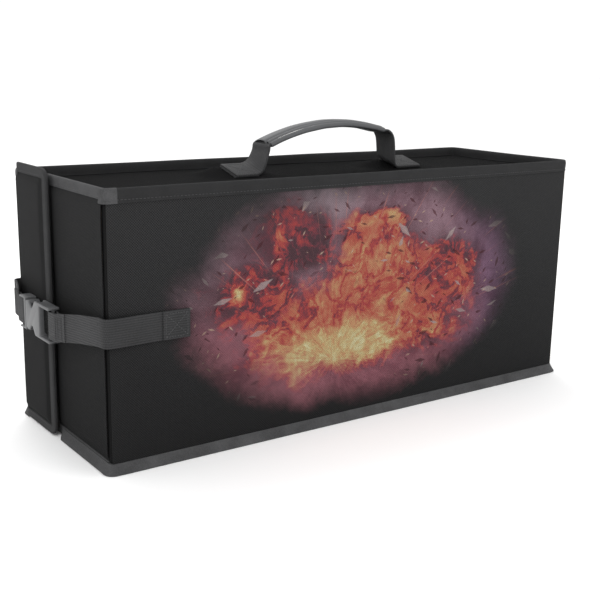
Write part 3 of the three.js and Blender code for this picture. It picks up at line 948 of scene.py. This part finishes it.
def makeFlap(looks, name, normal, corner):
    low, high = boxOf(name + "_binding")
    cloth = boxOf(name + "_panel")
    fold, tip, way, mid = flapLine(name, normal)
    heights = low.z + flap["edge"], high.z - flap["edge"]
    free = tip - way * flap["edge"]
    ends = ((fold, heights[0]), (free, heights[0]), (free, heights[1]), (fold, heights[1]))
    route = spaced(rounded([(mid, y, z) for y, z in ends], corner, 10), flap["step"])
    half, band = flap["bandThick"] / 2, flap["band"][name]
    side = [(-band * a, half * b) for a, b in flap["section"]]
    ring = sweep(name + "_tape", side + [(a, -b) for a, b in reversed(side)], route, normal)
    # painted light: a lighter copy of the tape on the inner flap's ring, a less light one on the outer flap's
    look = looks["paleTape" if normal.x > 0 else "flapTape"]
    finishPiece(ring, name, look, (name + "_binding",))

    inset, outer, sunk = flap["clothInset"], cloth[0].x - flap["puff"], mid - flap["sunk"]
    sheet, bottom, height = flapSheet(name + "_cloth", mid - 1 * mm, mid + 1 * mm, fold, tip, heights, inset,
                                      corner - inset, -1)
    for vertex in sheet.data.vertices:
        reach = min(vertex.co.z - bottom, height - vertex.co.z, abs(tip - vertex.co.y) - inset)
        lift = easing((reach - band + flap["overBand"]) / flap["climb"])
        wave = noise.noise(vertex.co * flap["waveScale"]) * flap["wave"]
        vertex.co.x = sunk + (outer - sunk) * lift + wave * lift
    thicken(sheet, 0, -1, flap["clothThick"])
    finishPiece(sheet, name, looks["shell"], (name + "_panel",))
    dress(name + "_board", looks["board"])
    inner, inset = boxOf(name + "_lining"), flap["liningInset"]
    lining, _, _ = flapSheet(name + "_lining_cloth", inner[0].x, inner[1].x, fold, tip, heights, inset,
                             max(corner - inset, 1 * mm), 1)
    thicken(lining, 0, 1, flap["liningThick"])
    finishPiece(lining, name, looks["lining"], (name + "_lining",))


# Pulls the sheet's outer corners in to a round.
def roundOff(sheet, tip, low, high, way, radius):
    for vertex in sheet.data.vertices:
        for corner, up in ((low, 1), (high, -1)):
            dy = (vertex.co.y - (tip - way * radius)) * way
            dz = ((corner + up * radius) - vertex.co.z) * up
            if dy > 0 and dz > 0:
                far = math.hypot(dy, dz)
                square = max(dy, dz)
                scale = square / far
                vertex.co.y = tip - way * radius + way * dy * scale
                vertex.co.z = corner + up * radius - up * dz * scale


# Cloth and tape that run on from each wall, round its corner and into its flap.
fold = {
    "sink": 1.6 * mm, "thick": 0.8 * mm, "round": 0.35 * mm, "reach": 8 * mm, "start": 4 * mm,
    "bend": 2.6 * mm, "bottom": 0.5 * mm, "step": 2 * mm, "blendReach": 6 * mm, "blendHeight": 0.1,
    "joinReach": 4.6 * mm, "tapeIn": 0.6 * mm, "backTapeIn": 2.5 * mm, "tapeBend": 5.0 * mm,
    "over": 0.25 * mm, "backHang": 1.9 * mm, "footTaper": 6 * mm, "footGap": 0.8 * mm, "footStep": 8 * mm,
}


def makeCorners(looks):
    rimLow, rimHigh = boxOf("top_binding")
    over = fold["over"]
    rimProfile = foldedTape(rimLow.z - binding["drop"] - over, rimHigh.z + over, binding["thick"] + 2 * over)
    for side, joint, name in ((-1, "front", "inner_flap"), (1, "back", "outer_flap")):
        corner, panel = boxOf(joint + "_fold"), boxOf(joint + "_panel")
        face, start = corner[0].x, panel[0].x
        y = -corner[0].y if side < 0 else corner[1].y

        def around(begin, beside, x, bend, steps):
            line = [(begin, side * beside, 0), (x, side * beside, 0), (x, side * (y - fold["reach"]), 0)]
            return spaced(rounded(line, bend, steps), fold["step"])

        route = around(start + fold["start"], y - fold["sink"], face + fold["sink"], fold["bend"], 6)
        if side > 0:
            route.reverse()
        bottom, height = wall["footSeam"] + fold["bottom"], panel[1].z
        profile = slab(height - bottom, fold["thick"], fold["round"])
        profile = [(a, b + (height + bottom) / 2) for a, b in profile]
        cloth = sweep(joint + "_corner_cloth", profile, route, zAxis)
        tapeX = face + fold["tapeIn" if side < 0 else "backTapeIn"]
        route = around(start + fold["joinReach"], y - fold["tapeIn"], tapeX, fold["tapeBend"], 10)
        if side < 0:
            route.reverse()
        rim = sweep(joint + "_corner_rim", rimProfile, route, zAxis)
        foot = sweep(joint + "_corner_foot", footProfile(over), route, zAxis)
        if side > 0:  # the outer flap's foot hangs straight
            for vertex in foot.data.vertices:
                vertex.co.x = max(vertex.co.x, tapeX - fold["backHang"])
        # painted shade: the fold cloth in the corner groove is darker
        finishPiece(cloth, None, looks["foldShade"], (joint + "_fold",))
        finishPiece(rim, None, looks["paleTape"])
        finishPiece(foot, None, looks["paleTape"])
        for piece in (cloth, rim, foot):
            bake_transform(piece)
    # the inner flap carries the leaning foot on, up to where the outer flap covers it
    low, high = boxOf("inner_flap_binding")
    x = boxOf("front_fold")[0].x + fold["tapeIn"]
    stop = boxOf("outer_flap_binding")[0].y
    line = [Vector((x, stop - fold["footGap"], 0)), Vector((x, low.y - 0.2 * mm, 0))]
    foot = sweep("inner_flap_foot", footProfile(), spaced(line, fold["footStep"]), zAxis)
    for vertex in foot.data.vertices:  # its free end is cut on the slant
        past = vertex.co.y - (stop - fold["footTaper"])
        if past > 0:
            vertex.co.x = x + (vertex.co.x - x) * (1 - 0.6 * past / fold["footTaper"])
    finishPiece(foot, "inner_flap", looks["paleTape"])
    print("corners done")


strap = {"wide": 25 * mm, "thick": 1.6 * mm, "round": 0.6 * mm}


def webProfile(thick=None, wide=None):
    return slab(wide or strap["wide"], thick or strap["thick"], strap["round"])


# Rows of single stitches: one is shaped, and an array repeats it along each run.
def stitches(name, runs, body, material, out, pitch=binding["stitchPitch"],
             size=binding["stitch"]):
    length, wide = size
    rows = []
    for start, end in runs:
        start, end = Vector(start), Vector(end)
        along = (end - start).normalized()
        bpy.ops.object.select_all(action="DESELECT")
        bpy.ops.mesh.primitive_uv_sphere_add(segments=8, ring_count=5, radius=0.5)
        row = bpy.context.object
        across = along.cross(out).normalized()
        grid = Matrix((along * length, across * wide, out * wide * 0.8)).transposed().to_4x4()
        row.matrix_world = Matrix.Translation(start + along * length / 2) @ grid
        settle(row, name)
        copies = row.modifiers.new("row", "ARRAY")
        copies.use_relative_offset, copies.use_constant_offset = False, True
        copies.constant_offset_displace = along * pitch
        copies.count = max(1, int((end - start).length / pitch))
        applyModifiers(row)
        rows.append(row)
    bpy.ops.object.select_all(action="DESELECT")
    for row in rows:
        row.select_set(True)
    bpy.context.view_layer.objects.active = rows[0]
    if len(rows) > 1:
        bpy.ops.object.join()
    seam = bpy.context.object
    seam.name = seam.data.name = name
    bpy.ops.object.mode_set(mode="EDIT")
    bpy.ops.mesh.select_all(action="SELECT")
    bpy.ops.mesh.normals_make_consistent(inside=False)
    bpy.ops.object.mode_set(mode="OBJECT")
    return finishPiece(seam, body, material, (), 60)


# The four sides and two diagonals of a sewn box; point turns two flat values into a place.
def crossBox(a0, a1, b0, b1, point):
    corners = [(a0, b0), (a1, b0), (a1, b1), (a0, b1)]
    pairs = [(0, 1), (1, 2), (2, 3), (3, 0), (0, 2), (1, 3)]
    return [(point(*corners[i]), point(*corners[j])) for i, j in pairs]


strapRun = {
    "standOff": 2.4 * mm, "bend": 10 * mm, "wallBend": 20 * mm, "bow": 0.4 * mm, "bowFrom": 36 * mm,
    "bowTo": 12 * mm, "wallEnd": 1 * mm, "turnStart": 1.5 * mm, "turnOut": 1.44 * mm, "turnLean": 1.2 * mm,
    "turnShort": 5 * mm, "step": 6 * mm, "turnStep": 1.6 * mm, "endStep": 3 * mm, "endBend": 2.6 * mm,
    "box": 25 * mm, "boxEnd": 0.6 * mm, "boxOut": 1.5 * mm, "boxThick": 1.5 * mm, "boxSeamOut": 2.3 * mm,
    "boxInset": 2.4 * mm, "boxPitch": 2.6 * mm, "boxStitch": (2.0 * mm, 0.6 * mm),
    "barIn": 4.8 * mm, "barReach": 3.6 * mm, "legSpread": 3.1 * mm, "sag": 1.0 * mm, "tailLean": 3.0 * mm,
    "tailEnd": 3.4 * mm, "near": 4 * mm, "level": 11 * mm, "tail": 27 * mm, "share": 0.62,
    "rises": (0.08, 0.36, 0.66),  # how much of the way up to the wall's height, from the buckle out
    "seamRows": (13 * mm, 16 * mm, 21 * mm, 24 * mm), "seamHalf": 10.5 * mm, "seamPitch": 2.2 * mm,
    "seamStitch": (1.9 * mm, 0.8 * mm),
}


def makeStrap(looks):
    run = strapRun
    for side, name, body in ((-1, "front", "front_strap"), (1, "back", "back_strap")):
        low, high = boxOf(name + "_strap_sewn")
        height = (low.z + high.z) / 2
        y = (low.y + high.y) / 2 + side * wall["bulge"] * 0.35
        off = y + side * run["standOff"]
        corner = boxOf(name + "_strap_fold")
        end = boxOf(name + "_strap_end")
        line = [(high.x, y, height), (low.x + run["bowFrom"], y + side * run["bow"], height),
                (low.x + run["bowTo"], off - side * run["bow"], height),
                (low.x + run["wallEnd"], off, height)]
        sewn = pullStrap(name + "_strap_on_wall", line, side, run["wallBend"], run["step"])
        finishPiece(sewn, "box", looks["web"], (name + "_strap_sewn",))
        # the end is folded under, so the sewn box is two layers thick
        left, right = high.x - run["box"], high.x + run["boxEnd"]
        beside = y + side * run["boxOut"]
        line = [(right, beside, height), (left, beside, height)]
        patch = pullStrap(name + "_strap_box", line, side, 1 * mm, run["step"], run["boxThick"])
        finishPiece(patch, "box", looks["web"])
        face = y + side * run["boxSeamOut"]
        inset = run["boxInset"]
        runs = crossBox(left + inset, right - inset, low.z + inset, high.z - inset,
                        lambda a, b, o=face: (a, o, b))
        stitches(name + "_strap_box_seam", runs, "box", looks["webThread"], Vector((0, side, 0)),
                 run["boxPitch"], run["boxStitch"])
        turnX = corner[0].x - run["turnOut"]
        endY = (end[0].y if side < 0 else end[1].y) - side * run["turnShort"]
        turned = (turnX - run["turnLean"], endY, height)
        line = [(low.x + run["turnStart"], off, height), (turnX, off, height), turned]
        turn = pullStrap(name + "_strap_turn", line, side, run["bend"], run["turnStep"])
        finishPiece(turn, None, looks["web"], (name + "_strap_fold",))
        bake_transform(turn)
        makeStrapEnd(looks, side, name, body, turned)
    print("strap done")


def pullStrap(name, line, side, bend, step, thick=None):
    if side > 0:
        line = line[::-1]
    return sweep(name, webProfile(thick), spaced(rounded(line, bend, 10), step), zAxis)


# From the corner to the buckle, once round the buckle's bar and back under itself.
def makeStrapEnd(looks, side, name, body, begin):
    run = strapRun
    end = boxOf(name + "_strap_end")
    socket = boxOf("buckle_socket")
    middle = (socket[0].x + socket[1].x) / 2
    drop = (socket[0].z + socket[1].z) / 2
    near, tailRise, far = run["rises"]
    barY = end[1].y - run["barIn"] if side < 0 else end[0].y + run["barIn"]
    outer, inner = middle - run["legSpread"], middle + run["legSpread"]
    kneeX = (begin[0] * 2 + outer) / 3 - run["sag"]

    def spot(x, back, share):  # back from the bar, towards the corner
        return x, barY + side * back, drop + (begin[2] - drop) * share

    line = [
        (begin[0], begin[1] + side * 1 * mm, begin[2]),
        spot(kneeX, side * (begin[1] - barY) * run["share"], far),
        spot(outer, run["level"], near),
        spot(outer, -run["barReach"], 0), spot(inner, -run["barReach"], 0),
        spot(inner, run["near"], 0),
        spot(inner - run["tailLean"], run["level"], near),
        spot(inner - run["tailEnd"], run["tail"], tailRise),
    ]
    webbing = pullStrap(name + "_strap_to_buckle", line, side, run["endBend"], run["endStep"])
    finishPiece(webbing, body, looks["web"], (name + "_strap_end",))
    runs = []
    for offset in run["seamRows"] if side < 0 else run["seamRows"][:2]:
        part = max(0.0, (offset - run["level"]) / (abs(begin[1] - barY) * run["share"] - run["level"]))
        x, y, z = spot(outer - run["sag"] + (kneeX - outer) * part, offset, near + (far - near) * part)
        runs.append(((x, y, z - run["seamHalf"]), (x, y, z + run["seamHalf"])))
    stitches(name + "_strap_end_seam", runs, body, looks["darkThread"], -xAxis,
             run["seamPitch"], run["seamStitch"])


throat = {"from": -9.5 * mm, "to": 8 * mm, "wide": 22 * mm, "thick": 3.2 * mm, "deep": 0.8 * mm,
          "teeth": 7, "crimp": 0.8 * mm, "step": 1.2 * mm}


# The end of the webbing, crumpled where it is pushed into the socket.
def makeThroat(looks):
    low, high = boxOf("buckle_socket")
    x = (low.x + high.x) / 2 + throat["deep"]
    z = (low.z + high.z) / 2
    line = spaced([Vector((x, throat["from"], z)), Vector((x, throat["to"], z))], throat["step"])
    piece = sweep("socket_throat", webProfile(throat["thick"], throat["wide"]), line, zAxis)
    turns = math.pi * throat["teeth"] / (throat["to"] - throat["from"])
    for vertex in piece.data.vertices:
        vertex.co.x += throat["crimp"] * math.sin((vertex.co.y - throat["from"]) * turns)
    finishPiece(piece, "front_strap", looks["darkWeb"])


buckle = {  # each moulding's body and the round of its edges
    "buckle_socket": ("front_strap", 1.1 * mm), "buckle_plug": ("back_strap", 1.1 * mm),
    "upper_prong": ("upper_prong", 0.7 * mm), "lower_prong": ("lower_prong", 0.7 * mm),
}


def makeBuckle(looks):
    makeThroat(looks)
    for node, (body, width) in buckle.items():
        piece = softCopy(node, node + "_moulded", width)
        finishPiece(piece, body, looks["plastic"], (node,), 50)
    print("buckle done")


grip = {
    # across the grip, and up from its middle: a lip, a small ridge, a groove and a broad ridge
    "profile": [(-17.0, -1.4), (-16.6, 0.8), (-15.2, 2.2), (-13.8, 2.2), (-12.7, 0.8), (-11.4, 2.9),
                (-9.6, 3.7), (-8.0, 3.0), (-7.0, 0.3), (-5.6, 2.9), (-3.2, 4.1), (0.0, 4.3), (4.0, 4.1),
                (8.5, 3.4), (12.5, 2.2), (15.6, 0.5), (16.8, -1.2), (15.4, -2.6), (9.0, -3.3),
                (0.0, -3.6), (-8.0, -3.5), (-14.0, -3.1), (-16.4, -2.6)],
    "mouth": 1.1 * mm, "mouthDepth": 5 * mm, "halfLength": 71 * mm, "sagitta": 11.5 * mm, "span": 70 * mm,
    "tilt": 4.3, "endRise": 35 * mm, "lift": 4.5 * mm, "wobble": 0.35 * mm, "wobbleScale": 60.0,
    "legThick": 2.0 * mm, "tuckedIn": 60 * mm, "round": 0.6 * mm,
    # inside the grip: wide, thick, up from its middle, half length
    "webbing": (30 * mm, 1.5 * mm, -2.0 * mm, 62 * mm), "foam": (27 * mm, 2.6 * mm, 0.4 * mm, 60 * mm),
}
legs = {  # bends of the webbing between its foot and the grip: outward and up from the grip's end
    "left": {"foot": -2.5 * mm, "patchEnd": 7 * mm, "bends": [(1.2 * mm, -5.5 * mm)], "bend": 9 * mm},
    "right": {"foot": 2.5 * mm, "patchEnd": 2 * mm, "bend": 6 * mm, "bends": [
        (14.4 * mm, -15 * mm), (13.2 * mm, -8 * mm), (9.8 * mm, -2.8 * mm), (5.0 * mm, -0.2 * mm)]},
}


# Points along the middle of the grip, from its left end to its right end.
def gripArc(halfLength, steps=36):
    low, high = boxOf("grip_cover")
    chord = boxOf("top_panel")[1].z + grip["endRise"]
    radius = (grip["span"] ** 2 + grip["sagitta"] ** 2) / (2 * grip["sagitta"])
    spread = math.asin(halfLength / radius)
    hang = Matrix.Translation(((low.x + high.x) / 2, 0, chord + grip["lift"]))
    hang = hang @ Matrix.Rotation(-math.radians(grip["tilt"]), 4, "Y")
    angles = [spread * (2 * i / steps - 1) for i in range(steps + 1)]
    middle = grip["sagitta"] - radius
    return [hang @ Vector((radius * math.sin(a), 0, middle + radius * math.cos(a))) for a in angles]


def openGripEnds(cover):
    only(cover)
    middleX = sum(v.co.x for v in cover.data.vertices) / len(cover.data.vertices)
    for way in (-1, 1):
        bpy.ops.object.mode_set(mode="EDIT")
        bpy.ops.mesh.select_all(action="DESELECT")
        bpy.ops.object.mode_set(mode="OBJECT")
        cap = max(cover.data.polygons, key=lambda p: len(p.vertices) * 100 + way * (p.center.x - middleX))
        cap.select = True
        inward = cap.normal * -grip["mouthDepth"]
        bpy.ops.object.mode_set(mode="EDIT")
        bpy.ops.mesh.select_mode(type="FACE")
        bpy.ops.mesh.inset(thickness=grip["mouth"])
        bpy.ops.mesh.extrude_region_move(TRANSFORM_OT_translate={"value": inward})
        bpy.ops.object.mode_set(mode="OBJECT")


def makeHandle(looks):
    profile = [(b * mm, a * mm) for a, b in grip["profile"]]
    cover = sweep("grip_leather", profile, gripArc(grip["halfLength"]), yAxis)
    for vertex in cover.data.vertices:
        vertex.co.z += grip["wobble"] * noise.noise(vertex.co * grip["wobbleScale"])
    openGripEnds(cover)
    smoothing = cover.modifiers.new("smooth", "SUBSURF")
    smoothing.levels = smoothing.render_levels = 1
    applyModifiers(cover)
    finishPiece(cover, "handle", looks["leather"], ("grip_cover",), 60)
    for name, node, slotName, look, layer in (
        ("grip_webbing", "grip_web", "webbing", looks["webUpright"], grip["webbing"]),
        ("grip_foam_pad", "grip_core", "grip_foam", looks["foam"], grip["foam"]),
    ):
        wide, thick, up, half = layer
        profile = [(a + up, b) for a, b in slab(wide, thick, grip["round"])]
        piece = sweep(name, profile, gripArc(half), yAxis)
        finishPiece(piece, "handle", look, (node,))
    for side, name in ((-1, "left"), (1, "right")):
        makePatch(looks, side, name)
    print("handle done")


patch = {
    "lift": 0.35 * mm, "up": 0.5 * mm, "thick": 1.1 * mm, "step": 5 * mm,
    "seamUp": 2.95 * mm, "seamIn": 2.6 * mm,
    "seamOuter": 3.8 * mm, "seamInner": 1.5 * mm, "pitch": 2.6 * mm, "stitch": (2.0 * mm, 0.65 * mm),
    "legUp": 1.9 * mm, "legIn": 1.4 * mm, "legStep": 2.5 * mm, "legLevel": 6 * mm, "slide": 1.0 * mm,
    "blendFrom": 0.5 * mm, "blendTo": 3 * mm,
}


# One sewn patch on the ridge of the top, and the webbing that runs over it and up into the grip.
def makePatch(looks, side, name):
    low, high = boxOf(name + "_handle_patch")
    wide = high.y - low.y
    slope = top["ridge"] / wide
    across = Vector((0, 1, slope)).normalized()
    lift = Vector((0, -slope, 1)).normalized()
    leg = legs[name]
    outer, inner = (low.x, high.x) if side < 0 else (high.x, low.x)
    patchEnd = inner + side * leg["patchEnd"]
    base = boxOf("top_panel")[1].z + top["crown"] + top["ridge"] / 2 + patch["lift"]

    def onPatch(x, y, up):
        return Vector((x, 0, base)) + across * y + lift * up

    line = [onPatch(outer, 0, patch["up"]), onPatch(patchEnd, 0, patch["up"])]
    if side > 0:
        line.reverse()
    sewn = sweep(name + "_patch", webProfile(patch["thick"], wide), spaced(line, patch["step"]), across)
    finishPiece(sewn, "box", looks["patchWeb"], (name + "_handle_patch",))
    halfSeam = wide / 2 - patch["seamIn"]
    ends = sorted((outer - side * patch["seamOuter"], patchEnd + side * patch["seamInner"]))
    runs = crossBox(*ends, -halfSeam, halfSeam, lambda a, b: onPatch(a, b, patch["seamUp"]))
    stitches(name + "_patch_seam", runs, "box", looks["webThread"], lift, patch["pitch"],
             patch["stitch"])

    end = gripArc(grip["halfLength"])[0 if side < 0 else -1]
    inside = gripArc(grip["tuckedIn"])[0 if side < 0 else -1]
    foot = base + patch["legUp"]
    slide = (inside - end).normalized() * patch["slide"]
    line = [(outer - side * patch["legIn"], 0, foot), (inner - side * leg["foot"], 0, foot)]
    line += [(end.x + side * outward, 0, end.z + up) for outward, up in leg["bends"]]
    line += [tuple(end - slide), tuple(inside)]
    if side > 0:
        line.reverse()
    route = spaced(rounded(line, leg["bend"], 10), patch["legStep"])
    piece = sweep(name + "_leg", webProfile(grip["legThick"], wide), route, yAxis)
    for vertex in piece.data.vertices:  # the foot lies at the patch's slope, the upper end is level
        rise = easing((vertex.co.z - foot) / (end.z - foot - patch["legLevel"]))
        vertex.co.z += vertex.co.y * slope * (1 - rise)
    finishPiece(piece, None, looks["webUpright"], (name + "_handle_leg",))
    foot + patch["blendFrom"]
    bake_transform(piece)


seam = {"proud": 0.95, "rimUp": 2.2 * mm, "flapIn": 0.82}


def makeSeams(looks):
    low, high = boxOf("top_binding")
    cloth = boxOf("front_panel")
    out = binding["thick"] / 2 * seam["proud"] - binding["rimIn"]
    y, right = -cloth[0].y + out, cloth[1].x + out
    z = low.z + seam["rimUp"]
    turn = binding["cornerRadius"]
    for name, start, end, normal in (
        ("front_rim_seam", (low.x, -y, z), (right - turn, -y, z), -yAxis),
        ("back_rim_seam", (low.x, y, z), (right - turn, y, z), yAxis),
        ("end_rim_seam", (right, -y + turn, z), (right, y - turn, z), xAxis),
    ):
        stitches(name, [(start, end)], "box", looks["darkThread"], normal)
    for name, normal in (("inner_flap", xAxis), ("outer_flap", -xAxis)):
        low, high = boxOf(name + "_binding")
        fold, tip, way, mid = flapLine(name, normal)
        x = mid - flap["bandThick"] / 2 * seam["proud"]
        inset = flap["band"][name] * seam["flapIn"]
        turn = max(inset, flap["innerCorner" if normal.x > 0 else "corner"])
        runs = [((x, fold, z), (x, tip - way * turn, z)) for z in (low.z + inset, high.z - inset)]
        runs.append(((x, tip - way * inset, low.z + turn), (x, tip - way * inset, high.z - turn)))
        stitches(name + "_seam", runs, name, looks["darkThread"], -xAxis)
    print("seams done")


makeCamera()
makeStudio()
looks = {
    # the top's cloth is a darker, duller copy of the shell cloth: painted shade on the recessed top
    "shell": shellLook(), "topCloth": shellLook("top_woven_cloth", 0.3, gloss=0.02),
    # a darker copy of the cloth for the corner folds is painted shade in the groove beside the rim
    "print": shellLook("printed_woven_cloth", 1.75, True), "foldShade": shellLook("fold_cloth_painted_shade", 0.35),
    # Lit copies of one tape: painted light makes it lighter on the inner flap, the corner pieces and the
    # foot, and a little lighter on the outer flap
    "tape": tapeLook(gain=0.84), "paleTape": tapeLook("painted_light_tape", 2.95),
    "flapTape": tapeLook("flap_tape", 1.35),
    # the strap: painted light on the flap side, painted shade on the wall faces
    "web": webLook(shade=(1, 0.082, 0.091, 1.14, 0.66)),
    # the handle's webbing: painted shade low down near the top, full tone higher up
    "webUpright": webLook("upright_webbing", True, 1.25, (2, 0.240, 0.250, 0.55, 1.0)),
    "darkWeb": webLook("shaded_webbing", False, 0.05), "patchWeb": webLook("sewn_webbing", False, 0.74),
    "plastic": plasticLook(), "leather": leatherLook(), "board": boardLook(), "lining": liningLook(),
    "foam": foamLook(), "webThread": threadLook("grey_thread", (0.058, 0.058, 0.060)),
    "darkThread": threadLook("dark_thread", (0.045, 0.045, 0.047)),
}
print("finishes done")
makeWalls(looks)
makeRim(looks)
makeFlap(looks, "inner_flap", xAxis, flap["innerCorner"])
makeFlap(looks, "outer_flap", -xAxis, flap["corner"])
print("flaps done")
makeCorners(looks)
makeStrap(looks)
makeBuckle(looks)
makeHandle(looks)
makeSeams(looks)
